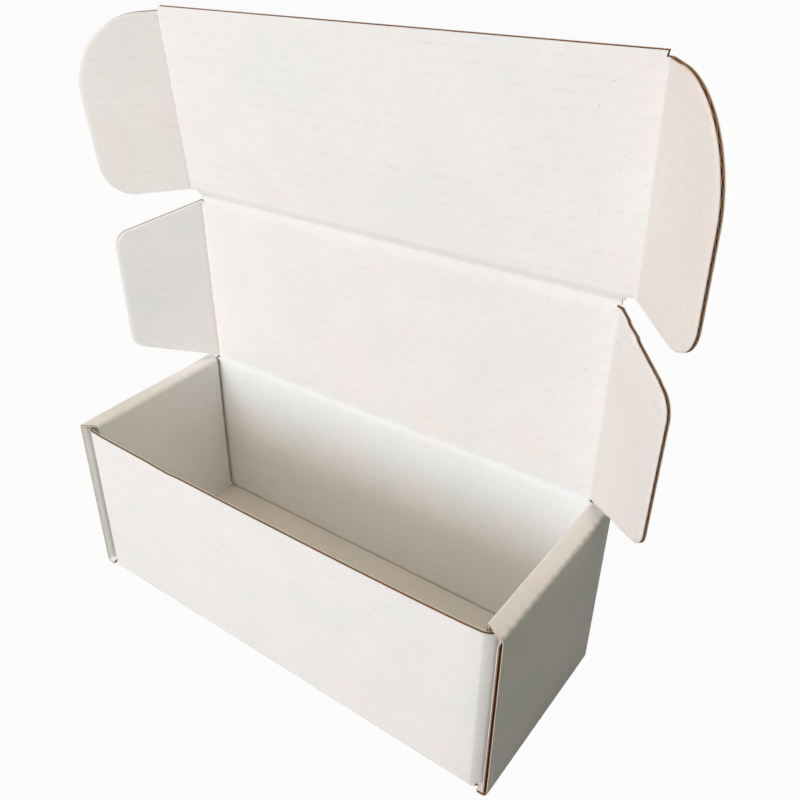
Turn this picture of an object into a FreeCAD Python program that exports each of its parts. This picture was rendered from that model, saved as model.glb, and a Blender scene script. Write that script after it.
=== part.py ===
import FreeCAD, Part
import Sketcher
import os

# A corrugated mailing box, cut and creased from one sheet and shown open.
# Millimetres, +Z up, X along the box, the front faces -Y.
# The origin is the centre of the underside of the tray.

SIZES = [
    # board
    ("board", 2.5),
    ("fold_radius", 0.4),
    ("crease_gap", 0.25),
    # tray
    ("box_length", 273.5),
    ("box_width", 106.4),
    ("side_height", 104.2),
    ("front_height", 102.2),
    ("ear_play", 0.22),
    ("ply_gap", 0.25),
    ("edge_gap", 0.4),
    ("dust_depth", 44),
    ("tab_width", 26),
    ("tab_spacing", 56),
    ("slot_play", 0.3),
    # lid panel, between its creases
    ("lid_width", 252),
    ("lid_depth", 105.4),
    ("lid_rise", 0.45),
    # side flaps of the lid
    ("flap_width", 53.5),
    ("flap_start", 1.2),
    ("flap_low", 15.4),
    ("flap_high", 87.7),
    ("flap_end", 103.2),
    ("flap_low_round", 9),
    ("flap_high_round", 11),
    # tuck panel and its ears
    ("tuck_depth", 102.6),
    ("ear_width", 52.5),
    ("ear_start", 4.4),
    ("ear_low", 2.2),
    ("ear_end", 100.4),
    ("ear_low_round", 18),
    ("ear_high_round", 42),
    # folds as photographed, in degrees from flat
    ("lid_lean", 1),
    ("tuck_fold", 4.8),
    ("left_flap_fold", 50),
    ("right_flap_fold", 45),
    ("left_ear_fold", 33),
    ("right_ear_fold", 47),
]

doc = FreeCAD.newDocument("mailing_box")
sheet = doc.addObject("Spreadsheet::Sheet", "sizes")
for row, (alias, value) in enumerate(SIZES, start=1):
    sheet.set(f"A{row}", alias)
    sheet.set(f"B{row}", str(value))
    sheet.setAlias(f"B{row}", alias)
doc.recompute()

# Lengths that several pieces share, written from the sizes in the sheet.
BOARD = "sizes.board"
HALF_BOARD = "sizes.board / 2"
BEND = "(sizes.board + sizes.fold_radius)"
HALF_LENGTH = "sizes.box_length / 2"
HALF_WIDTH = "sizes.box_width / 2"
TOP = "sizes.side_height"
# the pocket between outer side wall and dust flap takes one ear
POCKET = "(sizes.board + 2 * sizes.ear_play)"
DUST_OUTER = f"({HALF_LENGTH} - {BOARD} - {POCKET})"
DUST_TOP = f"({TOP} - {BOARD} - sizes.edge_gap)"
INNER_FACE = f"({DUST_OUTER} - 2 * {BOARD} - sizes.ply_gap)"
HALF_LID = "sizes.lid_width / 2"
HALF_TUCK = f"({DUST_OUTER} + {POCKET} / 2)"
HINGE_Y = f"({HALF_WIDTH} - {HALF_BOARD})"
HINGE_Z = f"({TOP} + sizes.lid_rise + {HALF_BOARD})"
PLATE_START = f"({HALF_BOARD} + sizes.crease_gap)"
FRONT = -1
BACK = 1
LEFT = -1
RIGHT = 1
QUARTER = 90
WHOLE = 360
# millimetres within which two points are the same
SAME = 1e-6


def bind_base(thing, x, y, z):
    """Tie the position of a thing to three expressions."""
    thing.setExpression("Placement.Base.x", str(x))
    thing.setExpression("Placement.Base.y", str(y))
    thing.setExpression("Placement.Base.z", str(z))


def slab(name, corner, lengths):
    """A flat stretch of board: a box from its lowest corner."""
    thing = doc.addObject("Part::Box", name)
    for prop, expression in zip(("Length", "Width", "Height"), lengths):
        thing.setExpression(prop, str(expression))
    bind_base(thing, *corner)
    return thing


def rod(name, centre, rotation, radius, length, angle=WHOLE):
    """A cylinder, or a sector of one, that starts at its centre point."""
    thing = doc.addObject("Part::Cylinder", name)
    thing.Placement.Rotation = rotation
    thing.Angle = angle
    thing.setExpression("Radius", radius)
    thing.setExpression("Height", length)
    bind_base(thing, *centre)
    return thing


def fuse(name, things):
    """One solid from pieces that touch or overlap."""
    thing = doc.addObject("Part::MultiFuse", name)
    thing.Shapes = things
    thing.Refine = True
    return thing


def cut(name, base, tool):
    """A solid less another."""
    thing = doc.addObject("Part::Cut", name)
    thing.Base = base
    thing.Tool = tool
    return thing


def bend(name, centre, rotation, length):
    """A fold of the board: a quarter of a tube, from its centre of curvature."""
    outer = rod(f"{name}_outer", centre, rotation, BEND, length, QUARTER)
    inner = rod(f"{name}_inner", centre, rotation, "sizes.fold_radius", length, QUARTER)
    return cut(name, outer, inner)


def turn(axis, degrees):
    """A rotation about one of the frame's axes."""
    return FreeCAD.Rotation(FreeCAD.Vector(*axis), degrees)


def along_y(side, upper):
    """Turn a fold to run along +Y, with its quarter at an outer bottom or top corner."""
    start = {(LEFT, True): 0, (RIGHT, True): 90, (RIGHT, False): 180, (LEFT, False): 270}[side, upper]
    lay = FreeCAD.Rotation(FreeCAD.Vector(-1, 0, 0), FreeCAD.Vector(0, 0, 1), FreeCAD.Vector(0, 1, 0), "ZXY")
    return lay * turn((0, 0, 1), start)


def along_x(end):
    """Turn a fold to run along +X, with its quarter at the front or back bottom corner."""
    start = {FRONT: 180, BACK: 270}[end]
    lay = FreeCAD.Rotation(FreeCAD.Vector(0, 1, 0), FreeCAD.Vector(0, 0, 1), FreeCAD.Vector(1, 0, 0), "ZXY")
    return lay * turn((0, 0, 1), start)


def upright(side, end):
    """Turn a fold to run along +Z, with its quarter at one corner of the plan."""
    start = {(RIGHT, BACK): 0, (LEFT, BACK): 90, (LEFT, FRONT): 180, (RIGHT, FRONT): 270}[side, end]
    return turn((0, 0, 1), start)


def span(side, near, far):
    """The lower X of a stretch that runs from near to far on one side of the middle."""
    return f"{near}" if side > 0 else f"-({far})"


def rolled_side(side, tag):
    """Outer side wall, rolled over at the top, and the inner wall with its two tabs."""
    tube_x = f"{side} * ({HALF_LENGTH} - {BEND})"
    roll_x = f"{side} * ({INNER_FACE} + {BEND})"
    roll_z = f"{TOP} - {BEND}"
    full = "sizes.box_width"
    short = f"(sizes.box_width - 2 * ({BOARD} + sizes.edge_gap))"
    wall_x = span(side, f"{HALF_LENGTH} - {BOARD}", HALF_LENGTH)
    inner_x = span(side, INNER_FACE, f"{INNER_FACE} + {BOARD}")
    strip_x = span(side, f"{INNER_FACE} + {BEND}", f"{HALF_LENGTH} - {BEND}")
    strip = f"({HALF_LENGTH} - {INNER_FACE} - 2 * {BEND})"
    pieces = [
        bend(f"{tag}_bottom_fold", (tube_x, f"-{HALF_WIDTH}", BEND), along_y(side, False), full),
        slab(
            f"{tag}_outer_wall",
            (wall_x, f"-{HALF_WIDTH}", BEND),
            (BOARD, full, f"{TOP} - 2 * {BEND}"),
        ),
        bend(f"{tag}_top_fold", (tube_x, f"-{HALF_WIDTH}", roll_z), along_y(side, True), full),
        slab(f"{tag}_strip", (strip_x, f"-{short} / 2", f"{TOP} - {BOARD}"), (strip, short, BOARD)),
        bend(f"{tag}_roll_fold", (roll_x, f"-{short} / 2", roll_z), along_y(-side, True), short),
        slab(
            f"{tag}_inner_wall",
            (inner_x, f"-{short} / 2", f"{BOARD} + sizes.slot_play"),
            (BOARD, short, f"{roll_z} - {BOARD} - sizes.slot_play"),
        ),
    ]
    for number, place in enumerate((-1, 1), start=1):
        middle = f"{place} * sizes.tab_spacing / 2"
        pieces.append(
            slab(
                f"{tag}_tab_{number}",
                (inner_x, f"{middle} - sizes.tab_width / 2", "0"),
                (BOARD, "sizes.tab_width", f"{BOARD} + 2 * sizes.slot_play"),
            )
        )
    return pieces


def dust_flap(side, end, tag):
    """A corner flap: the upright fold at the end of a wall and the panel behind it."""
    corner_x = f"{side} * ({DUST_OUTER} - {BEND})"
    corner_y = f"{end} * ({HALF_WIDTH} - {BEND})"
    foot = f"{BOARD} + sizes.edge_gap"
    height = f"{DUST_TOP} - {BOARD} - sizes.edge_gap"
    flap_x = span(side, f"{DUST_OUTER} - {BOARD}", DUST_OUTER)
    flap_y = span(end, f"{HALF_WIDTH} - {BEND} - sizes.dust_depth", f"{HALF_WIDTH} - {BEND}")
    return [
        bend(f"{tag}_fold", (corner_x, corner_y, foot), upright(side, end), height),
        slab(f"{tag}_panel", (flap_x, flap_y, foot), (BOARD, "sizes.dust_depth", height)),
    ]


def end_wall(end, tag, height):
    """The front or back wall with the fold at its foot."""
    half = f"({DUST_OUTER} - {BEND})"
    wall_y = span(end, f"{HALF_WIDTH} - {BOARD}", HALF_WIDTH)
    fold_y = f"{end} * ({HALF_WIDTH} - {BEND})"
    return [
        bend(f"{tag}_foot_fold", (f"-{half}", fold_y, BEND), along_x(end), f"2 * {half}"),
        slab(f"{tag}_wall", (f"-{half}", wall_y, BEND), (f"2 * {half}", BOARD, f"{height} - {BEND}")),
    ]


def build_tray():
    """The tray: one folded sheet with slots for the tabs of its inner walls."""
    floor_x = f"({HALF_LENGTH} - {BEND})"
    floor_y = f"({HALF_WIDTH} - {BEND})"
    floor = slab(
        "floor_panel",
        (f"-{floor_x}", f"-{floor_y}", "0"),
        (f"2 * {floor_x}", f"2 * {floor_y}", BOARD),
    )
    floor_parts = [floor]
    for side, tag in ((LEFT, "left"), (RIGHT, "right")):
        floor_parts.append(
            slab(
                f"{tag}_floor_edge",
                (span(side, DUST_OUTER, floor_x), f"-{HALF_WIDTH}", "0"),
                (f"{floor_x} - {DUST_OUTER}", "sizes.box_width", BOARD),
            )
        )
    slots = []
    for side, tag in ((LEFT, "left"), (RIGHT, "right")):
        for number, place in enumerate((-1, 1), start=1):
            near = f"{INNER_FACE} - sizes.slot_play"
            far = f"{INNER_FACE} + {BOARD} + sizes.slot_play"
            start = f"{place} * sizes.tab_spacing / 2 - sizes.tab_width / 2 - sizes.slot_play"
            length = "sizes.tab_width + 2 * sizes.slot_play"
            slots.append(
                slab(
                    f"{tag}_slot_{number}",
                    (span(side, near, far), start, f"-{BOARD}"),
                    (f"{BOARD} + 2 * sizes.slot_play", length, f"3 * {BOARD}"),
                )
            )
    slotted_floor = cut("slotted_floor", fuse("whole_floor", floor_parts), fuse("slots", slots))
    pieces = [slotted_floor]
    pieces += end_wall(FRONT, "front", "sizes.front_height")
    pieces += end_wall(BACK, "back", DUST_TOP)
    pieces.append(
        slab(
            "back_wall_top",
            (f"-{HALF_LID}", f"{HALF_WIDTH} - {BOARD}", DUST_TOP),
            ("sizes.lid_width", BOARD, f"{HINGE_Z} - {DUST_TOP}"),
        )
    )
    pieces.append(
        rod(
            "hinge_crease",
            (f"-{HALF_LID}", HINGE_Y, HINGE_Z),
            turn((0, 1, 0), QUARTER),
            HALF_BOARD,
            "sizes.lid_width",
        )
    )
    for side, side_tag in ((LEFT, "left"), (RIGHT, "right")):
        pieces += rolled_side(side, side_tag)
        for end, end_tag in ((FRONT, "front"), (BACK, "back")):
            pieces += dust_flap(side, end, f"{side_tag}_{end_tag}_dust")
    tray = fuse("tray", pieces)
    tray.Label = "tray"
    return tray


# Rest positions. Each crease frame starts from the one before it.
HINGE_FRAME = (
    f"placement(vector(0; {HINGE_Y}; {HINGE_Z}); rotation(vector(1; 0; 0); sizes.lid_lean))"
)
TUCK_FRAME = (
    f"{HINGE_FRAME} * placement(vector(0; 0; sizes.lid_depth);"
    " rotation(vector(1; 0; 0); sizes.tuck_fold))"
)


def side_frame(side, carrier, offset, fold):
    """A frame on a side crease, turned inward by its fold."""
    return (
        f"{carrier} * placement(vector({side} * {offset}; 0; 0);"
        f" rotation(vector(0; 0; 1); {-side} * {fold}))"
    )


def build_lid():
    """Lid panel with the beads of its three creases, in the hinge frame."""
    panel = slab(
        "lid_board",
        (f"-{HALF_LID}", f"-{HALF_BOARD}", PLATE_START),
        ("sizes.lid_width", BOARD, f"sizes.lid_depth - {PLATE_START}"),
    )
    tuck_crease = rod(
        "tuck_crease",
        (f"-{HALF_LID}", "0", "sizes.lid_depth"),
        turn((0, 1, 0), QUARTER),
        HALF_BOARD,
        "sizes.lid_width",
    )
    pieces = [panel, tuck_crease]
    for side, tag in ((LEFT, "left"), (RIGHT, "right")):
        pieces.append(
            rod(
                f"{tag}_flap_crease",
                (f"{side} * {HALF_LID}", "0", PLATE_START),
                FreeCAD.Rotation(),
                HALF_BOARD,
                f"sizes.flap_end - {PLATE_START}",
            )
        )
    lid = fuse("lid_panel", pieces)
    lid.Label = "lid_panel"
    lid.setExpression("Placement", HINGE_FRAME)
    return lid


def plate_sketch(body, name, corners):
    """A closed outline through corners given as pairs of expressions."""
    sketch = body.newObject("Sketcher::SketchObject", name)
    plane = [p for p in body.Origin.OriginFeatures if p.Role == "XZ_Plane"][0]
    sketch.AttachmentSupport = (plane, [""])
    sketch.MapMode = "FlatFace"
    rough = [FreeCAD.Vector(*place, 0) for place in rough_places(corners)]
    count = len(rough)
    for index in range(count):
        sketch.addGeometry(Part.LineSegment(rough[index], rough[(index + 1) % count]), False)
    for index in range(count):
        sketch.addConstraint(Sketcher.Constraint("Coincident", index, 2, (index + 1) % count, 1))
    for index, (across, up) in enumerate(corners):
        for kind, expression in (("DistanceX", across), ("DistanceY", up)):
            start = rough[index].x if kind == "DistanceX" else rough[index].y
            number = sketch.addConstraint(Sketcher.Constraint(kind, -1, 1, index, 1, start))
            label = f"corner_{index}_{kind[-1].lower()}"
            sketch.renameConstraint(number, label)
            sketch.setExpression(f"Constraints.{label}", expression)
    return sketch


def rough_places(corners):
    """The corners as numbers, for the first rough shape of an outline."""
    return [[float(sheet.evalExpression(expression)) for expression in pair] for pair in corners]


def plate(name, corners, rounds=(), frame=None):
    """A flat piece of board from an outline, with some upright corners rounded."""
    body = doc.addObject("PartDesign::Body", name)
    body.Label = name
    sketch = plate_sketch(body, f"{name}_outline", corners)
    pad = body.newObject("PartDesign::Pad", f"{name}_pad")
    pad.Profile = sketch
    pad.setExpression("Length", BOARD)
    pad.Midplane = True
    doc.recompute()
    last = pad
    for index, radius in rounds:
        place = rough_places([corners[index]])[0]
        names = []
        for number, edge in enumerate(last.Shape.Edges, start=1):
            ends = [v.Point for v in edge.Vertexes]
            upright_there = all(abs(p.x - place[0]) < SAME and abs(p.z - place[1]) < SAME for p in ends)
            if len(ends) == 2 and upright_there:
                names.append(f"Edge{number}")
        rounding = body.newObject("PartDesign::Fillet", f"{name}_round_{index}")
        rounding.Base = (last, names)
        rounding.setExpression("Radius", radius)
        doc.recompute()
        last = rounding
    if frame:
        body.setExpression("Placement", frame)
    return body


def build_tuck():
    """Tuck panel with the beads of its two ear creases, in the tuck frame."""
    corners = [
        (f"-{HALF_LID}", PLATE_START),
        (HALF_LID, PLATE_START),
        (HALF_TUCK, "sizes.ear_start"),
        (HALF_TUCK, "sizes.tuck_depth"),
        (f"-{HALF_TUCK}", "sizes.tuck_depth"),
        (f"-{HALF_TUCK}", "sizes.ear_start"),
    ]
    panel = plate("tuck_board", corners)
    pieces = [panel]
    for side, tag in ((LEFT, "left"), (RIGHT, "right")):
        pieces.append(
            rod(
                f"{tag}_ear_crease",
                (f"{side} * {HALF_TUCK}", "0", "sizes.ear_start"),
                FreeCAD.Rotation(),
                HALF_BOARD,
                "sizes.ear_end - sizes.ear_start",
            )
        )
    tuck = fuse("tuck_panel", pieces)
    tuck.Label = "tuck_panel"
    tuck.setExpression("Placement", TUCK_FRAME)
    return tuck


def mirrored(side, corners):
    """The same outline on the left or right of its crease."""
    return [(across if side > 0 else f"-({across})", up) for across, up in corners]


def build_lid_flap(side, tag):
    """Side flap of the lid, tapered at both ends."""
    corners = mirrored(
        side,
        [
            (PLATE_START, "sizes.flap_start"),
            ("sizes.flap_width", "sizes.flap_low"),
            ("sizes.flap_width", "sizes.flap_high"),
            (PLATE_START, "sizes.flap_end"),
        ],
    )
    frame = side_frame(side, HINGE_FRAME, HALF_LID, f"sizes.{tag}_flap_fold")
    rounds = [(1, "sizes.flap_low_round"), (2, "sizes.flap_high_round")]
    return plate(f"{tag}_lid_flap", corners, rounds, frame)


def build_ear(side, tag):
    """Locking ear of the tuck panel, rounded to slide into its pocket."""
    corners = mirrored(
        side,
        [
            (PLATE_START, "sizes.ear_start"),
            ("sizes.ear_width", "sizes.ear_low"),
            ("sizes.ear_width", "sizes.ear_end"),
            (PLATE_START, "sizes.ear_end"),
        ],
    )
    frame = side_frame(side, TUCK_FRAME, HALF_TUCK, f"sizes.{tag}_ear_fold")
    rounds = [(1, "sizes.ear_low_round"), (2, "sizes.ear_high_round")]
    return plate(f"{tag}_tuck_ear", corners, rounds, frame)


parts = [build_tray(), build_lid(), build_tuck()]
for side, tag in ((LEFT, "left"), (RIGHT, "right")):
    parts.append(build_lid_flap(side, tag))
    parts.append(build_ear(side, tag))
doc.recompute()

for thing in doc.Objects:
    if "Invalid" in thing.State or "Error" in thing.State:
        raise RuntimeError(f"{thing.Name} failed: {thing.State}")
os.makedirs("parts", exist_ok=True)
for thing in parts:
    shape = thing.Shape
    if shape.isNull() or not shape.isValid():
        raise RuntimeError(f"{thing.Label} has no valid shape")
    box = shape.BoundBox
    print(thing.Label, "solids", len(shape.Solids), "volume", round(shape.Volume, 1), box)
    shape.exportStep(f"parts/{thing.Label}.step")
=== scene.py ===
import math

import bpy
import numpy as np
from mathutils import Matrix


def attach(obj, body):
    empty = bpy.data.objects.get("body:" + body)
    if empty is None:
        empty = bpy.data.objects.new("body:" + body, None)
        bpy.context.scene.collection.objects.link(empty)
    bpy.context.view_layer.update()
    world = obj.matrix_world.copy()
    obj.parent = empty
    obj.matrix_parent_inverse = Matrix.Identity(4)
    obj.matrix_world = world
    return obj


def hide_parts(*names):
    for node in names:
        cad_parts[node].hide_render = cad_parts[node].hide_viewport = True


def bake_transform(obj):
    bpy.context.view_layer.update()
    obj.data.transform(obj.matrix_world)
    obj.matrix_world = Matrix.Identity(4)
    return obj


# A corrugated mailing box, shown open, with its board modelled as it is made:
# two liners and a fluted layer, folded along its creases.
# Lengths below are in millimetres and become metres when a mesh is made.

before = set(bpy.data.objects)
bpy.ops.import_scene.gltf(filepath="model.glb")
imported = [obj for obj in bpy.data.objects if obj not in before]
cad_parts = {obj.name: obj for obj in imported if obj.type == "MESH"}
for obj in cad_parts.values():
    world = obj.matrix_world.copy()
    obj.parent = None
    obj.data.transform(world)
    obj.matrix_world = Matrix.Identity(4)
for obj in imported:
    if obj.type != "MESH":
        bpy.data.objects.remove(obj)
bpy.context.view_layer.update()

MM = 0.001
X, Y, Z = np.eye(3)

# the board
BOARD = 2.5
HALF = BOARD / 2
LINER = 0.35
MEDIUM = 0.28
PITCH = 6.35
WASHBOARD = 0.035
STEPS = 10
FOLD = 0.4
MID_RADIUS = FOLD + HALF
BEND = FOLD + BOARD
TIGHT = 0.8
CORNERS = {-1: 3.2, 1: 1.65}
ROLLED = 1.3

# the tray, from the same sizes as its solid
LENGTH = 273.5
WIDTH = 106.4
SIDE_TOP = 104.2
FRONT_TOP = 102.2
PLAY = 0.22
POCKET = BOARD + 2 * PLAY
DUST_OUTER = LENGTH / 2 - BOARD - POCKET
DUST_TOP = SIDE_TOP - BOARD - 0.4
DUST_DEPTH = 44
INNER_FACE = DUST_OUTER - 2 * BOARD - 0.25
TAB_WIDTH = 26
TAB_SPACING = 56
SLOT_PLAY = 0.3
FOOT = BOARD + 0.4
ROLL_HALF, INNER_HALF = 48.9, 48.3
TOOTH = {-1: 0.12, 1: 0.42}
PINCH, PINCH_WIDTH = 1.45, 0.55
CORNER_ROUND = 0.35

# the front wall's free edge: how far it dips and bows out half way along, and one small dent
EDGE_DIP, EDGE_BOW, EDGE_CUT = 1.3, 0.9, 0.75
DENT_DEPTH, DENT_PLACE, DENT_WIDTH = 0.9, -66, 8

# the lid, its tuck panel and their flaps
HALF_LID = 126.0
HALF_TUCK = DUST_OUTER + POCKET / 2
HINGE = np.array([0, WIDTH / 2 - HALF, SIDE_TOP + 0.45 + HALF])
LID_DEPTH = 105.4
TUCK_DEPTH = 102.6
REACH = 1.45
HINGE_VALLEY = (0.45, 3.3)
TUCK_VALLEY = (1.6, 4.9)
LID_LEAN = 1.0
TUCK_LEAN = 5.8
FLAP_FOLD = {"left": 50.0, "right": 45.0}
EAR_FOLD = {"left": 33.0, "right": 47.0}
EAR_START = 3.6
EAR_END = 100.4
EAR_OUT, EAR_LOW = 52.5, 1.4
EAR_ROUNDS = {1: 18, 2: 42}
FLAP_START = 1.2
FLAP_END = 103.2
FLAP_OUT, FLAP_LOW, FLAP_HIGH = 53.5, 15.4, 87.7
FLAP_ROUNDS = {1: 9, 2: 11}
EAR_SEED = {"left": 0.9, "right": 2.3}
FLAP_SEED = {"left": 0.2, "right": 3.1}
RAGGED = {"left": 0, "right": 1.3}
LEVEL_CREASE_END = 3.4
HINGE_TAIL_WIDER = 4.2
CUT_PRESS = 0.55
CREASE_PRESS = 0.35


class Panel:
    """A flat panel's frame: an origin on its crease, across, up, and the side that was outside."""

    def __init__(self, origin, across, up):
        self.origin = np.asarray(origin, float)
        self.across = np.asarray(across, float)
        self.up = np.asarray(up, float)
        self.out = np.cross(self.up, self.across)

    def place(self, a, b, n=0.0):
        """Points at a across, b up and n out."""
        a, b, n = np.broadcast_arrays(a, b, n)
        return (
            self.origin
            + a[..., None] * self.across
            + b[..., None] * self.up
            + n[..., None] * self.out
        )


def leaning(degrees):
    """Up, leant to the front by an angle."""
    angle = math.radians(degrees)
    return np.array([0, -math.sin(angle), math.cos(angle)])


LID = Panel(HINGE, X, leaning(LID_LEAN))
TUCK = Panel(HINGE + LID_DEPTH * LID.up, X, leaning(TUCK_LEAN))


def turned(panel, side, offset, degrees):
    """The frame of a flap whose crease stands at an offset to one side of its panel."""
    angle = math.radians(degrees)
    across = side * math.cos(angle) * panel.across - math.sin(angle) * panel.out
    flap = Panel(panel.origin + side * offset * panel.across, across, panel.up)
    flap.out = side * flap.out
    return flap


SIDES = {"left": -1, "right": 1}
LID_FLAPS = {tag: turned(LID, side, HALF_LID, FLAP_FOLD[tag]) for tag, side in SIDES.items()}
EARS = {tag: turned(TUCK, side, HALF_TUCK, EAR_FOLD[tag]) for tag, side in SIDES.items()}


def evenly(start, stop, step):
    """Numbers from start to stop, about a step apart."""
    return np.linspace(start, stop, max(2, int(round(abs(stop - start) / step)) + 1))


def smooth(x):
    """A ramp from 0 to 1 with level ends: 3x^2 - 2x^3."""
    x = np.clip(x, 0, 1)
    return x * x * (3 - 2 * x)


def grid_normals(points):
    """The unit normal at each point of a grid, from the differences along its rows and columns."""
    down = np.gradient(points, axis=0)
    along = np.gradient(points, axis=1)
    normal = np.cross(along, down)
    return normal / np.maximum(np.linalg.norm(normal, axis=-1, keepdims=True), 1e-12)


def shell(top, bottom, flat, keep=None):
    """A closed sheet between two grids of points: its corners, quads, which face each quad is
    (0 on top, 1 below, 2 on the rim) and where each corner lies on the flat sheet. Cells that
    keep leaves out become holes with their own rim."""
    rows, cols = top.shape[:2]
    count = rows * cols
    cells = np.ones((rows - 1, cols - 1), bool) if keep is None else keep
    index = np.arange(count).reshape(rows, cols)
    a, b, c, d = index[:-1, :-1], index[:-1, 1:], index[1:, 1:], index[1:, :-1]
    upper = np.stack([a, b, c, d], -1)[cells]
    lower = np.stack([d, c, b, a], -1)[cells] + count
    padded = np.pad(cells, 1)
    before, after = padded[:-1, 1:-1], padded[1:, 1:-1]
    left, right = padded[1:-1, :-1], padded[1:-1, 1:]
    across = np.stack([index[:, :-1], index[:, 1:]], -1)
    along = np.stack([index[:-1], index[1:]], -1)
    edges = np.concatenate(
        [
            across[after & ~before][:, ::-1],
            across[before & ~after],
            along[right & ~left],
            along[left & ~right][:, ::-1],
        ]
    )
    rim = np.stack([edges[:, 0], edges[:, 1], edges[:, 1] + count, edges[:, 0] + count], -1)
    points = np.concatenate([top.reshape(-1, 3), bottom.reshape(-1, 3)])
    places = np.concatenate([flat.reshape(-1, 2)] * 2)
    quads = np.concatenate([upper, lower, rim])
    first = points[upper]
    turn = np.cross(first[:, 1] - first[:, 0], first[:, 3] - first[:, 0])
    lift = points[upper[:, 0]] - points[upper[:, 0] + count]
    if np.sum(turn * lift) < 0:
        quads = quads[:, ::-1]
    part = np.repeat([0, 1, 2], [len(upper), len(lower), len(rim)])
    used, inverse = np.unique(quads, return_inverse=True)
    return points[used], inverse.reshape(quads.shape), part, places[used]


def board(points, phase, out, keep=None, crush=0.0, bulge=0.0):
    """One stretch of corrugated board about the grid of its middle, its flutes along the rows: an
    outer liner, an inner liner, and between them a sheet at a height of the sine of the phase. The
    liners sag by WASHBOARD between the crests that carry them. crush takes thickness off the inner
    side and bulge adds height to both sides."""
    normal = grid_normals(points)
    if np.sum(normal * out) < 0:
        normal = -normal
    wave = np.sin(phase)
    steps = np.linalg.norm(np.diff(points, axis=1), axis=-1)
    along = np.concatenate([points[:, :1, 0] * 0, np.cumsum(steps, axis=1)], axis=1)
    along += points[:, :1] @ (X + 0.7 * Z)
    turns = phase / (2 * np.pi)

    def at(height):
        return points + normal * (height + 0 * wave)[..., None]

    def sheet(high, low, shift):
        flat = np.stack([along, (turns + shift) * PITCH], -1)
        return shell(at(high), at(low), flat, keep)

    outer = HALF - WASHBOARD * (1 - wave) / 2 + bulge
    inner = -HALF + WASHBOARD * (1 + wave) / 2 + crush + bulge
    room = np.maximum(BOARD - crush - 2 * LINER - 2 * WASHBOARD, 0.06)
    thick = np.minimum(MEDIUM, 0.9 * room)
    middle = (room - thick) / 2 * wave + crush / 2 + bulge
    return [
        ("outer", sheet(outer, outer - LINER, 0)),
        ("inner", sheet(inner, inner + LINER, 0.5)),
        ("medium", sheet(middle + thick / 2, middle - thick / 2, 0)),
    ]


def rounded(corners, rounds, steps=14):
    """A closed outline through corners. A rounded corner becomes an arc of its radius, tangent to
    both edges."""
    corners = np.asarray(corners, float)
    path = []
    for index, corner in enumerate(corners):
        radius = rounds.get(index, 0)
        if not radius:
            path.append(corner[None])
            continue
        back = corners[index - 1] - corner
        ahead = corners[(index + 1) % len(corners)] - corner
        back /= np.linalg.norm(back)
        ahead /= np.linalg.norm(ahead)
        half = math.acos(np.clip(back @ ahead, -1, 1)) / 2
        bisector = (back + ahead) / np.linalg.norm(back + ahead)
        centre = corner + bisector * radius / math.sin(half)
        first = corner + back * radius / math.tan(half) - centre
        last = corner + ahead * radius / math.tan(half) - centre
        sweep = math.pi - 2 * half
        share = np.linspace(0, 1, steps)[:, None]
        spoke = first * np.sin((1 - share) * sweep) + last * np.sin(share * sweep)
        path.append(centre + spoke / math.sin(sweep))
    return np.concatenate(path)


def rows_of(outline, step, least=0.06):
    """Heights for the rows of a plate: evenly spaced, and one at each corner of its outline."""
    low, high = outline[:, 1].min(), outline[:, 1].max()
    heights = np.unique(np.concatenate([evenly(low, high, step), outline[:, 1]]))
    kept = heights[np.concatenate([[True], np.diff(heights) > least])]
    kept[0], kept[-1] = low + 0.02, high - 0.02
    return kept


def limits(outline, heights):
    """Where the outline crosses each height, first and last."""
    start, stop = outline, np.roll(outline, -1, axis=0)
    low = np.minimum(start[:, 1], stop[:, 1])
    high = np.maximum(start[:, 1], stop[:, 1])
    rise = np.where(np.abs(stop[:, 1] - start[:, 1]) < 1e-9, 1, stop[:, 1] - start[:, 1])
    share = (heights[:, None] - start[:, 1]) / rise
    cross = start[:, 0] + share * (stop[:, 0] - start[:, 0])
    hit = (heights[:, None] >= low) & (heights[:, None] <= high) & (high - low > 1e-9)
    return np.where(hit, cross, np.inf).min(axis=1), np.where(hit, cross, -np.inf).max(axis=1)


def valley(distance, shape):
    """How far a crease of a depth and half width is pressed in at a distance from its line: a V
    with a rounded bottom."""
    depth, reach = shape
    return depth * np.clip(1 - np.hypot(distance, 0.25) / reach, 0, 1)


def plate(panel, outline, columns, phase_of, sway=0.0, seed=0.0, cut=0.0, ragged=0.0, folds=()):
    """A flat panel from its outline: rows run from edge to edge, and the middle sways out of its
    plane by a few tenths, level again at every edge. The die presses the far edge by cut and
    leaves its slanted stretches ragged; each fold is a valley at a height of its own."""
    heights = rows_of(outline, PITCH / STEPS)
    near, far = limits(outline, heights)
    slanted = smooth((far.max() - far - 8) / 6) * smooth((far - near) / 6)
    far = far + ragged * slanted * np.sin(1.3 * heights + 1.7 * np.sin(0.6 * heights + seed))
    share = np.linspace(0, 1, columns)
    if cut:
        share = np.concatenate([np.linspace(0, 0.94, columns - 3), [0.965, 0.98, 0.99, 1]])
    across = near[:, None] + (far - near)[:, None] * share
    up = np.repeat(heights[:, None], len(share), axis=1)
    low, high = heights[0], heights[-1]
    level = np.sin(np.pi * share) * np.sin(np.pi * (up - low) / (high - low))
    roll = np.sin(across / 31 + seed) * 0.6 + np.sin(up / 23 + across / 57 + 2 * seed)
    press = cut * np.exp(-(((far[:, None] - across) / 1.1) ** 2))
    for height, shape in folds:
        press = press + valley(up - height, shape)
    return board(panel.place(across, up, sway * level * roll), phase_of(up), panel.out, crush=press)


# The wave's phase runs on from the floor up each wall, as the sheet does.
FOLD_RUN = MID_RADIUS * math.pi / 2
FLOOR_END = WIDTH / 2 - BEND


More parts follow.
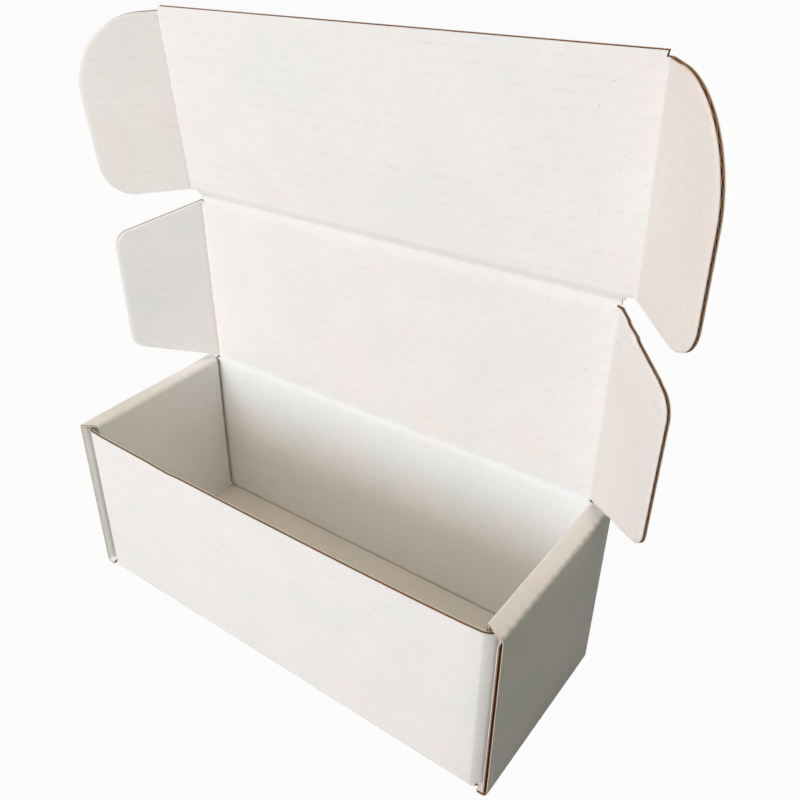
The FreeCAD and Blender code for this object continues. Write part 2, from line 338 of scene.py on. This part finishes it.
def flat_phase(y):
    """The phase at a distance along the sheet from the bottom's middle: one turn every PITCH."""
    return 2 * np.pi * y / PITCH


def wall_phase(z):
    """The phase at a height on the front and back walls, past the fold at their foot."""
    return flat_phase(FLOOR_END + FOLD_RUN + z - BEND)


def lid_phase(up):
    """The phase at a distance up the lid from its hinge."""
    return wall_phase(HINGE[2] + up)


def tuck_phase(up):
    """The phase at a distance up the tuck panel from its fold."""
    return lid_phase(LID_DEPTH + up)


def quarter(centre, start, finish, radius=MID_RADIUS, steps=13):
    """Points of a quarter turn about a centre, from one direction to another, closer together at
    its two ends: the angle is 45 degrees times (1 - cos(pi t))."""
    angle = (math.pi / 4 * (1 - np.cos(np.pi * np.linspace(0, 1, steps))))[:, None]
    return np.asarray(centre) + radius * (np.cos(angle) * start + np.sin(angle) * finish)


def lengths(path):
    """How far each point lies along a path."""
    return np.concatenate([[0], np.cumsum(np.linalg.norm(np.diff(path, axis=0), axis=1))])


# Tray pieces

WALL_Y = WIDTH / 2 - HALF
WALL_HALF = {end: DUST_OUTER - HALF - radius for end, radius in CORNERS.items()}
FOOT_END = DUST_OUTER - 1.9


def front_corner():
    """The front wall's corner in plan, from its dust flap to the wall's end: between a quarter
    circle and its chord."""
    radius, half = CORNERS[-1], WALL_HALF[-1]
    turn = quarter((half, -(WALL_Y - radius), 0), X, -Y, radius, 15)
    share = (1 - np.cos(np.pi * np.linspace(0, 1, 15)))[:, None] / 2
    chord = turn[0] + share * (turn[-1] - turn[0])
    return CORNER_ROUND * turn + (1 - CORNER_ROUND) * chord


def tab_ends(play):
    """The four places along Y at which the two tabs, or their slots, start and end."""
    half = TAB_WIDTH / 2 + play
    return [place * TAB_SPACING / 2 + end * half for place in (-1, 1) for end in (-1, 1)]


def build_bottom():
    """The bottom panel with its four slots and the folds up to the front and back walls, flutes
    along X. Inside each fold the board is pinched to a narrow groove. Past the front wall's ends
    its fold draws back with the wall's corners."""
    slot_near = INNER_FACE - SLOT_PLAY
    slot_far = INNER_FACE + BOARD + SLOT_PLAY
    front = quarter((0, -FLOOR_END, BEND), -Y, -Z)
    level = evenly(-FLOOR_END, FLOOR_END, PITCH / STEPS)
    level = np.unique(np.concatenate([level, tab_ends(SLOT_PLAY)]))[1:-1]
    flat = np.stack([0 * level, level, np.full_like(level, HALF)], -1)
    path = np.concatenate([front, flat, front[::-1] * np.array([1, -1, 1])])
    run = lengths(path)
    run -= run[-1] / 2
    turning = WALL_HALF[-1] + np.array([0, 0.6, 1.1])
    ends = [WALL_HALF[1], slot_far, FOOT_END, DUST_OUTER]
    half = np.concatenate([evenly(0, slot_near, 18), turning, ends])
    x = np.concatenate([-half[:0:-1], half])
    points = np.repeat(path[:, None], len(x), axis=1)
    points[..., 0] = x
    corner = front_corner()[::-1]
    drawn = np.interp(np.abs(x), corner[:, 0], corner[:, 1] + WALL_Y)
    points[..., 1] += drawn * ((path[:, 2] - HALF) / (BEND - HALF) * (path[:, 1] < 0))[:, None]
    mid_x = np.abs(x[:-1] + x[1:]) / 2
    mid_run = (run[:-1] + run[1:]) / 2
    slot_x = (mid_x > slot_near) & (mid_x < slot_far)
    slot_y = np.abs(np.abs(mid_run) - TAB_SPACING / 2) < TAB_WIDTH / 2 + SLOT_PLAY
    in_front, behind = (mid_run < -FLOOR_END)[:, None], (mid_run > FLOOR_END)[:, None]
    keep = ~(slot_y[:, None] & slot_x)
    keep &= ~(in_front & (mid_x > FOOT_END)) & ~(behind & (mid_x > WALL_HALF[1]))
    pinch = PINCH * np.exp(-(((np.abs(run) - FLOOR_END - FOLD_RUN / 2) / PINCH_WIDTH) ** 2))
    phase = flat_phase(run)[:, None] + 0 * points[..., 0]
    return board(points, phase, -Z * 20 + points * Y, keep, crush=pinch[:, None] + 0 * phase)


def build_end(end):
    """The front or back wall with a dust flap round each corner, in one length, flutes along it.
    In plan it is a straight run, a quarter turn, the wall, a quarter turn and a straight run. The
    free top of the front wall dips and bows out a little half way along."""
    radius, half = CORNERS[end], WALL_HALF[end]
    back = evenly(FLOOR_END - DUST_DEPTH, WALL_Y - radius, 7)[:-1]
    flap = np.stack([np.full_like(back, DUST_OUTER - HALF), end * back, 0 * back], -1)
    if end < 0:
        turn = front_corner()
    else:
        turn = quarter((half, WALL_Y - radius, 0), X, Y, radius, 15)
    x = evenly(half, -half, 9)[1:-1]
    wall = np.stack([x, np.full_like(x, end * WALL_Y), 0 * x], -1)
    path = np.concatenate([flap, turn, wall, (turn * [-1, 1, 1])[::-1], (flap * [-1, 1, 1])[::-1]])
    wall_top = FRONT_TOP if end < 0 else DUST_TOP
    past = np.clip((np.abs(path[:, 0]) - half) / radius, 0, 1)
    top = wall_top + (DUST_TOP - wall_top) * smooth(past)
    share = evenly(0, 1, PITCH / STEPS / (DUST_TOP - BEND))[:, None]
    low = BEND - 2.2 * np.sin(np.pi * np.clip((past - 0.7) / 0.3, 0, 1)) * (end < 0)
    height = low + share * (top - low)
    points = np.repeat(path[None], len(share), axis=0)
    points[..., 2] = height
    if end < 0:
        loose = np.clip(1 - (path[:, 0] / half) ** 2, 0, 1) ** 0.6
        dent = np.exp(-(((path[:, 0] - DENT_PLACE) / DENT_WIDTH) ** 2))
        points[..., 2] -= share**3 * (EDGE_DIP * loose + DENT_DEPTH * dent)
        points[..., 1] -= share**2 * EDGE_BOW * loose
    cut = EDGE_CUT * smooth(1 - (1 - share) * (top - low) / 2.4) * (end < 0)
    return board(points, wall_phase(height), path * Y + X * path * (past[:, None] > 0) * 3, crush=cut)


def side_path(side):
    """A side's section from the bottom up, over and down to its tabs, with the reach in Y of each
    point and how much of the board's thickness its folds and its rolled top press away."""
    outer_x = side * (LENGTH / 2 - BEND)
    wall_x = side * (LENGTH / 2 - HALF)
    inner_x = side * (INNER_FACE + HALF)
    turn_z = SIDE_TOP - HALF - TIGHT
    wall = np.concatenate([evenly(BEND, turn_z - 6, 8), evenly(turn_z - 5, turn_z, 0.8)])
    strip = evenly(wall_x - side * TIGHT, inner_x + side * TIGHT, 0.8)
    down = np.concatenate([evenly(turn_z, turn_z - 12, 1.2), evenly(turn_z - 18, FOOT - 0.1, 8)])
    half = WIDTH / 2
    strip_half = half - 0.3
    pieces = [
        (np.array([[side * DUST_OUTER, 0, HALF]]), half, half),
        (quarter((outer_x, 0, BEND), -Z, side * X), half, half),
        (np.stack([np.full_like(wall, wall_x), 0 * wall, wall], -1)[1:], half, half),
        (quarter((wall_x - side * TIGHT, 0, turn_z), side * X, Z, TIGHT, 11)[1:], half, strip_half),
        (np.stack([strip, 0 * strip, np.full_like(strip, SIDE_TOP - HALF)], -1)[1:], strip_half, ROLL_HALF),
        (quarter((inner_x + side * TIGHT, 0, turn_z), Z, -side * X, TIGHT, 11)[1:], ROLL_HALF, INNER_HALF),
        (np.stack([np.full_like(down, inner_x), 0 * down, down], -1)[1:], INNER_HALF, INNER_HALF),
        (np.array([[inner_x, 0, 0.0]]), INNER_HALF, INNER_HALF),
    ]
    path = np.concatenate([piece for piece, _, _ in pieces])
    reach = np.concatenate([np.linspace(start, stop, len(piece)) for piece, start, stop in pieces])
    on_wall = np.abs(path[:, 0]) > LENGTH / 2 - HALF - 0.01
    near_wall = smooth((path[:, 2] - turn_z + 3) / 3.4) * 0.9
    rolled = ROLLED * smooth((path[:, 2] - turn_z + 12) / 11)
    press = np.where(on_wall, near_wall, rolled)
    return path, reach, np.where(path[:, 2] < 20, 0, press)


def build_side(side):
    """Outer wall, rolled over at the top into the inner wall with its tabs, flutes upright. Along
    the outer crease the board sinks in at each flute, unevenly. The left wall's front edge is
    pressed shut."""
    path, reach, press = side_path(side)
    inner = reach[-1]
    even = evenly(-1, 1, PITCH / STEPS / (WIDTH / 2))
    share = np.unique(np.concatenate([even, np.array(tab_ends(0)) / inner]))
    points = np.repeat(path[None], len(share), axis=0)
    points[..., 1] = share[:, None] * reach
    phase = flat_phase(points[..., 1])
    from_crease = np.hypot(np.abs(path[:, 0]) - LENGTH / 2 + 1.2, path[:, 2] - SIDE_TOP + 1.2)
    uneven = 1 + 0.35 * np.sin(points[..., 1] / 5.3) * np.cos(points[..., 1] / 2.9)
    tooth = TOOTH[side] * uneven
    bulge = -tooth * (0.25 + np.abs(np.cos(phase / 2)) ** 3) * np.exp(-((from_crease / 1.4) ** 2))
    closed = 1.2 * np.exp(-(((1 + share) * inner / 1.6) ** 2)) * (side < 0)
    crush = np.maximum(press[None], closed[:, None] * (np.abs(path[:, 0]) > DUST_OUTER - 0.1))
    y_middle = np.abs(share[:-1] + share[1:]) / 2 * inner
    keep = np.ones((len(share) - 1, len(path) - 1), bool)
    keep[:, -1] = np.abs(y_middle - TAB_SPACING / 2) < TAB_WIDTH / 2
    middle = np.array([side * (LENGTH / 2 + INNER_FACE) / 2, 0, 0])
    out = (points - middle) * X + np.where(points[..., 2:] > SIDE_TOP - BEND, Z * 20, 0)
    return board(points, phase, out, keep, crush=crush, bulge=bulge)


# Lid pieces

def build_lid():
    """The lid panel: a rectangle that ends REACH before each of its four creases."""
    half, high = HALF_LID - REACH, LID_DEPTH - REACH
    outline = np.array([[-half, REACH], [half, REACH], [half, high], [-half, high]])
    folds = ((0, HINGE_VALLEY), (LID_DEPTH, TUCK_VALLEY))
    return plate(LID, outline, 25, lid_phase, 0.35, 0.4, folds=folds)


def build_tuck():
    """The tuck panel. Below each ear's crease its corner is hollowed to a quarter circle."""
    edge = HALF_TUCK - REACH
    turn = np.linspace(0, math.pi / 2, 9)[:, None]
    centre = np.array([HALF_LID + LEVEL_CREASE_END, REACH])
    hollow = centre + (EAR_START - REACH) * np.hstack([-np.cos(turn), np.sin(turn)])
    side = np.vstack([hollow, [[edge, EAR_START], [edge, EAR_END + 0.2], [edge + 0.4, TUCK_DEPTH]]])
    outline = np.vstack([side, side[::-1] * [-1, 1]])
    return plate(TUCK, outline, 25, tuck_phase, 0.3, 1.7, folds=((0, TUCK_VALLEY),))


def build_ear(tag):
    """A tuck ear, with a small round at its lower corner and a wide one at its upper corner."""
    corners = [[REACH, EAR_START], [EAR_OUT, EAR_LOW], [EAR_OUT, EAR_END], [REACH, EAR_END]]
    outline = rounded(corners, EAR_ROUNDS, 26)
    return plate(EARS[tag], outline, 15, tuck_phase, 0.3, EAR_SEED[tag], CUT_PRESS)


def build_lid_flap(tag):
    """A lid flap: it narrows away from its crease, with both outer corners rounded."""
    low, high = FLAP_START - 0.5, FLAP_END - 0.3
    corners = [[REACH, low], [FLAP_OUT, FLAP_LOW], [FLAP_OUT, FLAP_HIGH], [REACH, high]]
    outline = rounded(corners, FLAP_ROUNDS, 18)
    return plate(LID_FLAPS[tag], outline, 15, lid_phase, 0.3, FLAP_SEED[tag], CUT_PRESS, RAGGED[tag])


def arc_between(corner, start, finish, steps=9):
    """A smooth turn past a corner: REACH before it along start, REACH after it along finish.
    It is the curve (1-t)^2 a + 2t(1-t) c + t^2 b."""
    share = np.linspace(0, 1, steps)[:, None]
    a, b = corner - REACH * start, corner + REACH * finish
    return (1 - share) ** 2 * a + 2 * share * (1 - share) * corner + share**2 * b


def groove(steps, depth, width=0.9):
    """How far the crease rule pressed the inner side in, across a crease."""
    place = np.linspace(-REACH, REACH, steps)
    return depth * np.exp(-((place / width) ** 2)) * np.cos(place / REACH * np.pi / 2)


def build_level_crease(lower, upper, corner, half, phase_at, down, shape):
    """A crease along X between two panels, with its flutes: the turn, and some wall below it."""
    turn = arc_between(corner, lower, upper)
    tail = np.zeros((0, 3))
    if down:
        tail = corner - lower * evenly(REACH + down, REACH, PITCH / STEPS)[:-1, None]
    path = np.concatenate([tail, turn])
    points = np.repeat(path[:, None], 33, axis=1)
    wider = np.concatenate([np.full(len(tail), HINGE_TAIL_WIDER), np.zeros(len(turn))])
    points[..., 0] = np.linspace(-1, 1, 33) * (half + wider[:, None])
    run = lengths(path) - REACH - down
    phase = phase_at(run)[:, None] + 0 * points[..., 0]
    press = valley(run, shape)[:, None]
    return board(points, phase, Y, crush=press + 0 * points[..., 0])


def build_upright_crease(panel, flap, side, offset, low, high, phase_of):
    """A crease up the side of a panel. Flutes cross it, so it is pressed deeper between them."""
    corner = panel.origin + side * offset * panel.across
    turn = arc_between(corner, side * panel.across, flap.across)
    v = evenly(low, high, PITCH / STEPS)
    points = turn[None] + v[:, None, None] * panel.up
    phase = np.repeat(phase_of(v)[:, None], len(turn), axis=1)
    press = groove(len(turn), CREASE_PRESS) * (1 + 0.3 * np.sin(phase))
    swell = 0.05 * np.sin(phase) * np.cos(np.linspace(-1, 1, len(turn)) * np.pi / 2) ** 2
    return board(points, phase, Y, crush=press, bulge=swell)


# Shader helpers

class Wire:
    """A socket of a material's node tree, or a number, with the usual arithmetic."""

    def __init__(self, tree, socket):
        self.tree = tree
        self.socket = socket

    def _math(self, kind, first, second):
        return self.tree.add("ShaderNodeMath", {0: first, 1: second}, operation=kind)

    def __add__(self, other):
        return self._math("ADD", self, other)

    def __radd__(self, other):
        return self._math("ADD", other, self)

    def __sub__(self, other):
        return self._math("SUBTRACT", self, other)

    def __rsub__(self, other):
        return self._math("SUBTRACT", other, self)

    def __mul__(self, other):
        return self._math("MULTIPLY", self, other)

    def __rmul__(self, other):
        return self._math("MULTIPLY", other, self)

    def clamp(self):
        return self.tree.add("ShaderNodeClamp", {"Value": self})


class Finish:
    """A material under construction."""

    def __init__(self, name):
        self.material = bpy.data.materials.new(name)
        self.material.use_nodes = True
        self.nodes = self.material.node_tree.nodes
        self.links = self.material.node_tree.links
        self.nodes.clear()
        self.output = self.nodes.new("ShaderNodeOutputMaterial")

    def add(self, kind, inputs=None, out=0, **settings):
        """A node of any type: its settings first, then the values or wires of its sockets."""
        node = self.nodes.new(kind)
        for key, value in settings.items():
            setattr(node, key, value)
        for key, value in (inputs or {}).items():
            socket = node.inputs[key]
            if isinstance(value, Wire):
                self.links.new(value.socket, socket)
            else:
                socket.default_value = value
        return Wire(self, node.outputs[out])

    def where(self):
        return self.add("ShaderNodeTexCoord", out="Object")

    def split(self, vector):
        parts = self.add("ShaderNodeSeparateXYZ", {"Vector": vector}).socket.node.outputs
        return [Wire(self, part) for part in parts]

    def noise(self, vector, scale, detail, rough):
        inputs = {"Vector": vector, "Scale": scale, "Detail": detail, "Roughness": rough}
        return self.add("ShaderNodeTexNoise", inputs, out="Fac")

    def stretched(self, vector, scale):
        return self.add("ShaderNodeMapping", {"Vector": vector, "Scale": scale})

    def bump(self, height, strength, distance):
        inputs = {"Height": height, "Strength": strength, "Distance": distance}
        return self.add("ShaderNodeBump", inputs, out="Normal")

    def mix(self, share, first, second, kind="MIX"):
        """Two colours mixed, or the first times the second with MULTIPLY."""
        node = self.nodes.new("ShaderNodeMix")
        node.data_type = "RGBA"
        node.blend_type = kind
        sockets = (node.inputs[0], node.inputs[6], node.inputs[7])
        for socket, value in zip(sockets, (share, first, second)):
            if isinstance(value, Wire):
                self.links.new(value.socket, socket)
            elif isinstance(value, tuple):
                socket.default_value = (*value, 1)
            else:
                socket.default_value = value
        return Wire(self, node.outputs[2])

    def finish(self, **sockets):
        """The material, with its shader's sockets named with _ for each space."""
        inputs = {key.replace("_", " "): value for key, value in sockets.items()}
        shader = self.add("ShaderNodeBsdfPrincipled", inputs, out="BSDF")
        self.links.new(shader.socket, self.output.inputs["Surface"])
        return self.material


def rgb(red, green, blue):
    """A display colour out of 255 as scene-linear numbers."""
    def line(v):
        v /= 255
        return v / 12.92 if v <= 0.04045 else ((v + 0.055) / 1.055) ** 2.4
    return (line(red), line(green), line(blue))


def white_liner():
    """White liner: rosy and grey clouding, short broken lines of painted shade along the flutes, fine
    fibre and a few brown specks. Painted shade makes the right lid flap and ear darker and rosier and
    the left ear a little darker; painted light makes the left lid flap and the upper inside of the back
    wall lighter and cooler."""
    f = Finish("white_liner")
    here = f.where()
    along, across, _ = f.split(f.add("ShaderNodeUVMap", out="UV", uv_map="sheet"))
    x, y, z = f.split(here)
    clouds = f.noise(here, 26, 3, 0.6)
    blush = f.noise(f.stretched(here, (1.3, 1, 1.7)), 17, 2, 0.5)
    mottle = f.noise(here, 330, 3, 0.7)
    fibre = f.noise(f.stretched(here, (600, 900, 900)), 1.0, 3, 0.7)
    specks = f.noise(here, 520, 1, 0.4)
    colour = f.mix(((clouds - 0.35) * 3.2).clamp(), rgb(240, 241, 237), rgb(247, 245, 241))
    colour = f.mix(((blush - 0.47) * 5).clamp() * 0.6, colour, rgb(247, 240, 237))
    colour = f.mix(((mottle - 0.5) * 5).clamp() * 0.3, colour, rgb(232, 231, 227))
    # painted shade: broken darker lines along the flutes where the liner sags between them, also pressed in
    # as bump
    count = across * (1000 / PITCH)
    line = f.add("ShaderNodeMath", {0: count * math.tau}, operation="COSINE")
    number = f.add("ShaderNodeMath", {0: count + 0.5}, operation="FLOOR")
    lane = f.add("ShaderNodeCombineXYZ", {"X": along * 210, "Y": number * 3.7, "Z": across * 120})
    broken = ((f.noise(lane, 1.0, 4, 0.7) - 0.54) * 9).clamp()
    stroke = ((line - 0.9) * 12).clamp() * broken
    soft = ((line - 0.1) * 1.2).clamp() * (0.4 + 0.6 * broken)
    colour = f.mix(stroke * 0.45 + soft * 0.12, colour, rgb(222, 219, 215))
    colour = f.mix((fibre * 0.5).clamp(), colour, rgb(238, 236, 231))
    dot = ((specks - 0.78) * 18).clamp()
    colour = f.mix(dot * 0.3, colour, rgb(150, 132, 118))
    # painted light and shade per part: the right ear and right lid flap darker and rosier, the left ear a
    # little darker, the left lid flap lighter and cooler
    raised = ((z - 0.107) * 400).clamp()
    over_fold = ((z - 0.211) * 400).clamp()
    ends = 0.1262 + over_fold * 0.0062
    far_right = ((x - ends) * 900).clamp() * raised
    far_left = ((0 - x - ends) * 900).clamp()
    colour = f.mix(far_right * over_fold * 0.85, colour, (0.975, 0.91, 0.875), "MULTIPLY")
    colour = f.mix(far_right * (1 - over_fold) * 0.85, colour, (0.965, 0.92, 0.915), "MULTIPLY")
    colour = f.mix(far_left * over_fold * 0.6, colour, (0.96, 0.94, 0.915), "MULTIPLY")
    colour = f.mix(far_left * raised * (1 - over_fold) * 0.6, colour, (1.03, 1.05, 1.07), "MULTIPLY")
    # painted light: the upper inside of the back wall lighter and cooler
    back_inside = ((y - 0.0475) * 900).clamp() * ((0.0525 - y) * 900).clamp()
    back_wall_painted_light = back_inside * ((z - 0.05) * 30).clamp() * (1 - raised)
    colour = f.mix(back_wall_painted_light, colour, (1.04, 1.08, 1.12), "MULTIPLY")
    height = fibre + 0.6 * clouds - 1.2 * stroke
    bump = f.bump(height, 0.14, 0.0002)
    rough = 0.52 + 0.12 * fibre
    return f.finish(Base_Color=colour, Roughness=rough, Normal=bump, Specular_IOR_Level=0.12)


def kraft(name, light, dark, scale):
    """Plain paper with a grain of its own scale, between a light and a dark colour."""
    f = Finish(name)
    here = f.where()
    grain = f.noise(f.stretched(here, (scale, scale, scale)), 1.0, 4, 0.7)
    colour = f.mix(((grain - 0.3) * 2.2).clamp(), light, dark)
    bump = f.bump(grain, 0.3, 0.0003)
    return f.finish(Base_Color=colour, Roughness=0.85, Normal=bump, Specular_IOR_Level=0.2)


WHITE = white_liner()
KRAFT = kraft("kraft_liner_back", rgb(186, 150, 112), rgb(150, 112, 78), 700)
EDGE = kraft("cut_liner_edge", rgb(234, 222, 200), rgb(202, 178, 146), 1200)
FLUTE = kraft("fluted_medium", rgb(158, 110, 88), rgb(112, 74, 58), 900)
FLUTE_EDGE = kraft("cut_flute_edge", rgb(198, 162, 128), rgb(146, 110, 84), 1500)
MATERIALS = [WHITE, KRAFT, EDGE, FLUTE, FLUTE_EDGE]

# which material each layer has on its top, below and on its cut rim
FACES = {"outer": (0, 1, 2), "inner": (0, 1, 0), "medium": (3, 3, 4)}


def make(name, layers):
    """One mesh object from the layers of a board, in metres, with a finish for each kind of face."""
    points, quads, finishes, places, count = [], [], [], [], 0
    for kind, (corners, faces, part, flat) in layers:
        points.append(corners)
        places.append(flat[faces].reshape(-1, 2))
        quads.append(faces + count)
        finishes.append(np.array(FACES[kind])[part])
        count += len(corners)
    points = np.concatenate(points) * MM
    quads = np.concatenate(quads).astype(np.int32)
    mesh = bpy.data.meshes.new(name)
    mesh.vertices.add(len(points))
    mesh.vertices.foreach_set("co", points.astype(np.float32).ravel())
    mesh.loops.add(quads.size)
    mesh.loops.foreach_set("vertex_index", quads.ravel())
    mesh.polygons.add(len(quads))
    mesh.polygons.foreach_set("loop_start", np.arange(0, quads.size, 4, dtype=np.int32))
    for material in MATERIALS:
        mesh.materials.append(material)
    mesh.polygons.foreach_set("material_index", np.concatenate(finishes).astype(np.int32))
    mesh.polygons.foreach_set("use_smooth", np.ones(len(quads), bool))
    sheet = mesh.uv_layers.new(name="sheet")
    sheet.data.foreach_set("uv", (np.concatenate(places) * MM).astype(np.float32).ravel())
    mesh.update(calc_edges=True)
    mesh.validate()
    mesh.set_sharp_from_angle(angle=math.radians(38))
    thing = bpy.data.objects.new(name, mesh)
    bpy.context.scene.collection.objects.link(thing)
    return thing


tray_pieces = [
    make("bottom_panel", build_bottom()),
    make("front_wall", build_end(-1)),
    make("back_wall", build_end(1)),
    make("left_side_wall", build_side(-1)),
    make("right_side_wall", build_side(1)),
]
for piece in tray_pieces:
    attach(piece, "tray")
    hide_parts("tray")

lid = make("lid_board", build_lid())
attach(lid, "lid_panel")
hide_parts("lid_panel")
tuck = make("tuck_board", build_tuck())
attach(tuck, "tuck_panel")
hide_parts("tuck_panel")


def across_crease(piece, corner, before, after):
    """Bake a crease piece's placing into its mesh. Its ends, REACH before and after its corner, are worked
    out but not used.
    """
    start = (corner - REACH * before) * MM
    finish = (corner + REACH * after) * MM
    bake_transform(piece)


hinge_tail = HINGE[2] - REACH - DUST_TOP
hinge_crease = make(
    "hinge_crease",
    build_level_crease(Z, LID.up, HINGE, HALF_LID, lid_phase, hinge_tail, HINGE_VALLEY),
)
across_crease(hinge_crease, HINGE, Z, LID.up)
tuck_crease = make(
    "tuck_crease",
    build_level_crease(LID.up, TUCK.up, TUCK.origin, HALF_LID, tuck_phase, 0, TUCK_VALLEY),
)
across_crease(tuck_crease, TUCK.origin, LID.up, TUCK.up)
for tag, side in SIDES.items():
    flap = make(f"{tag}_flap_board", build_lid_flap(tag))
    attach(flap, f"{tag}_lid_flap")
    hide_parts(f"{tag}_lid_flap")
    ear = make(f"{tag}_ear_board", build_ear(tag))
    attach(ear, f"{tag}_tuck_ear")
    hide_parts(f"{tag}_tuck_ear")
    out = LID_FLAPS[tag]
    layers = build_upright_crease(LID, out, side, HALF_LID, FLAP_START - 0.7, FLAP_END, lid_phase)
    flap_crease = make(f"{tag}_flap_crease", layers)
    corner = LID.origin + side * HALF_LID * X
    across_crease(flap_crease, corner, side * X, out.across)
    out = EARS[tag]
    layers = build_upright_crease(TUCK, out, side, HALF_TUCK, EAR_START, EAR_END, tuck_phase)
    ear_crease = make(f"{tag}_ear_crease", layers)
    corner = TUCK.origin + side * HALF_TUCK * X
    across_crease(ear_crease, corner, side * X, out.across)

# Camera, as the photograph was taken

FOCAL = 872.28
CENTRE = (317.75, 410.04)
AZIMUTH, ELEVATION, ROLL = (math.radians(v) for v in (40.299, 32.089, -2.32))
STAND = (242.253, -287.976, 372.694)
SENSOR = 36.0
FRAME = 800


def placed(*columns):
    """A placing matrix from its three axes and its position."""
    matrix = Matrix.Identity(4)
    for column, axis in enumerate(columns):
        for row in range(3):
            matrix[row][column] = axis[row]
    return matrix


level = math.cos(ELEVATION)
back = np.array([math.sin(AZIMUTH) * level, -math.cos(AZIMUTH) * level, math.sin(ELEVATION)])
right = np.array([math.cos(AZIMUTH), math.sin(AZIMUTH), 0])
upward = np.cross(back, right)
rolled_right = math.cos(ROLL) * right + math.sin(ROLL) * upward
rolled_up = math.cos(ROLL) * upward - math.sin(ROLL) * right
eye = bpy.data.cameras.new("camera")
eye.sensor_width = SENSOR
eye.lens = FOCAL * SENSOR / FRAME
eye.shift_x = (FRAME / 2 - CENTRE[0]) / FRAME
eye.shift_y = (CENTRE[1] - FRAME / 2) / FRAME
eye.clip_start = 0.01
camera = bpy.data.objects.new("camera", eye)
camera.matrix_world = placed(rolled_right, rolled_up, back, np.array(STAND) * MM)
bpy.context.scene.collection.objects.link(camera)
bpy.context.scene.camera = camera

# Floor, lights and background

SEEN_BY = ("Is Camera Ray", "Is Glossy Ray", "Is Transmission Ray")
MIDDLE = np.array([0, 0, 0.12])
LAMP_SIZE = 0.8


def studio_floor():
    """Grey to the box, and white with a faint shadow to the camera and in reflections."""
    f = Finish("studio_floor")
    camera_ray, glossy_ray, clear_ray = (f.add("ShaderNodeLightPath", out=kind) for kind in SEEN_BY)
    seen = (camera_ray + glossy_ray + clear_ray).clamp()
    glow = f.add("ShaderNodeEmission", {"Color": (1, 1, 1, 1), "Strength": 1.0})
    matt = f.add("ShaderNodeBsdfDiffuse", {"Color": (0.43, 0.43, 0.43, 1)})
    both = f.add("ShaderNodeMixShader", {0: seen * 0.96, 1: matt, 2: glow})
    f.links.new(both.socket, f.output.inputs["Surface"])
    return f.material


bpy.ops.mesh.primitive_plane_add(size=8, location=(0, 0, -0.0003))
ground = bpy.context.object
ground.name = "studio_floor"
ground.data.materials.append(studio_floor())


def soft_light(name, place, power, colour):
    """A square soft box that faces the middle of the box."""
    lamp = bpy.data.lights.new(name, "AREA")
    lamp.shape = "SQUARE"
    lamp.size = LAMP_SIZE
    lamp.energy = power
    lamp.color = colour
    thing = bpy.data.objects.new(name, lamp)
    aim = MIDDLE - np.array(place)
    away = -aim / np.linalg.norm(aim)
    across = np.cross(Z, away)
    across /= np.linalg.norm(across)
    over = np.cross(away, across)
    thing.matrix_world = placed(across, over, away, np.array(place))
    bpy.context.scene.collection.objects.link(thing)


def around(azimuth, elevation, distance=1.5):
    """A lamp's place: turned from the front to the right, and up from the middle of the box."""
    a, e = math.radians(azimuth), math.radians(elevation)
    out = distance * math.cos(e)
    return (out * math.sin(a), -out * math.cos(a), MIDDLE[2] + distance * math.sin(e))


soft_light("low_front_light", around(-10, 12), 13.8, (0.94, 0.92, 1.0))
soft_light("front_light", around(-10, 35), 5.7, (1.0, 1.0, 0.95))
soft_light("top_light", (0.0, -0.1, 1.6), 3.7, (1.0, 0.6, 0.34))
soft_light("back_light", around(-150, 16), 12.0, (1.0, 0.98, 0.95))

world = bpy.data.worlds.new("studio")
world.use_nodes = True
nodes = world.node_tree.nodes
nodes.clear()
sky = nodes.new("ShaderNodeBackground")
sky.inputs["Color"].default_value = (0.92, 1, 0.8, 1)
white = nodes.new("ShaderNodeBackground")
white.inputs["Color"].default_value = (1, 1, 1, 1)
sky.inputs["Strength"].default_value = 0.152
white.inputs["Strength"].default_value = 1.0
light_path = nodes.new("ShaderNodeLightPath")
choose = nodes.new("ShaderNodeMixShader")
world_out = nodes.new("ShaderNodeOutputWorld")
seen = light_path.outputs[SEEN_BY[0]]
for kind in SEEN_BY[1:]:
    either = nodes.new("ShaderNodeMath")
    either.operation = "MAXIMUM"
    world.node_tree.links.new(seen, either.inputs[0])
    world.node_tree.links.new(light_path.outputs[kind], either.inputs[1])
    seen = either.outputs[0]
world.node_tree.links.new(seen, choose.inputs[0])
world.node_tree.links.new(sky.outputs[0], choose.inputs[1])
world.node_tree.links.new(white.outputs[0], choose.inputs[2])
world.node_tree.links.new(choose.outputs[0], world_out.inputs["Surface"])
bpy.context.scene.world = world
bpy.context.scene.view_settings.view_transform = "Standard"
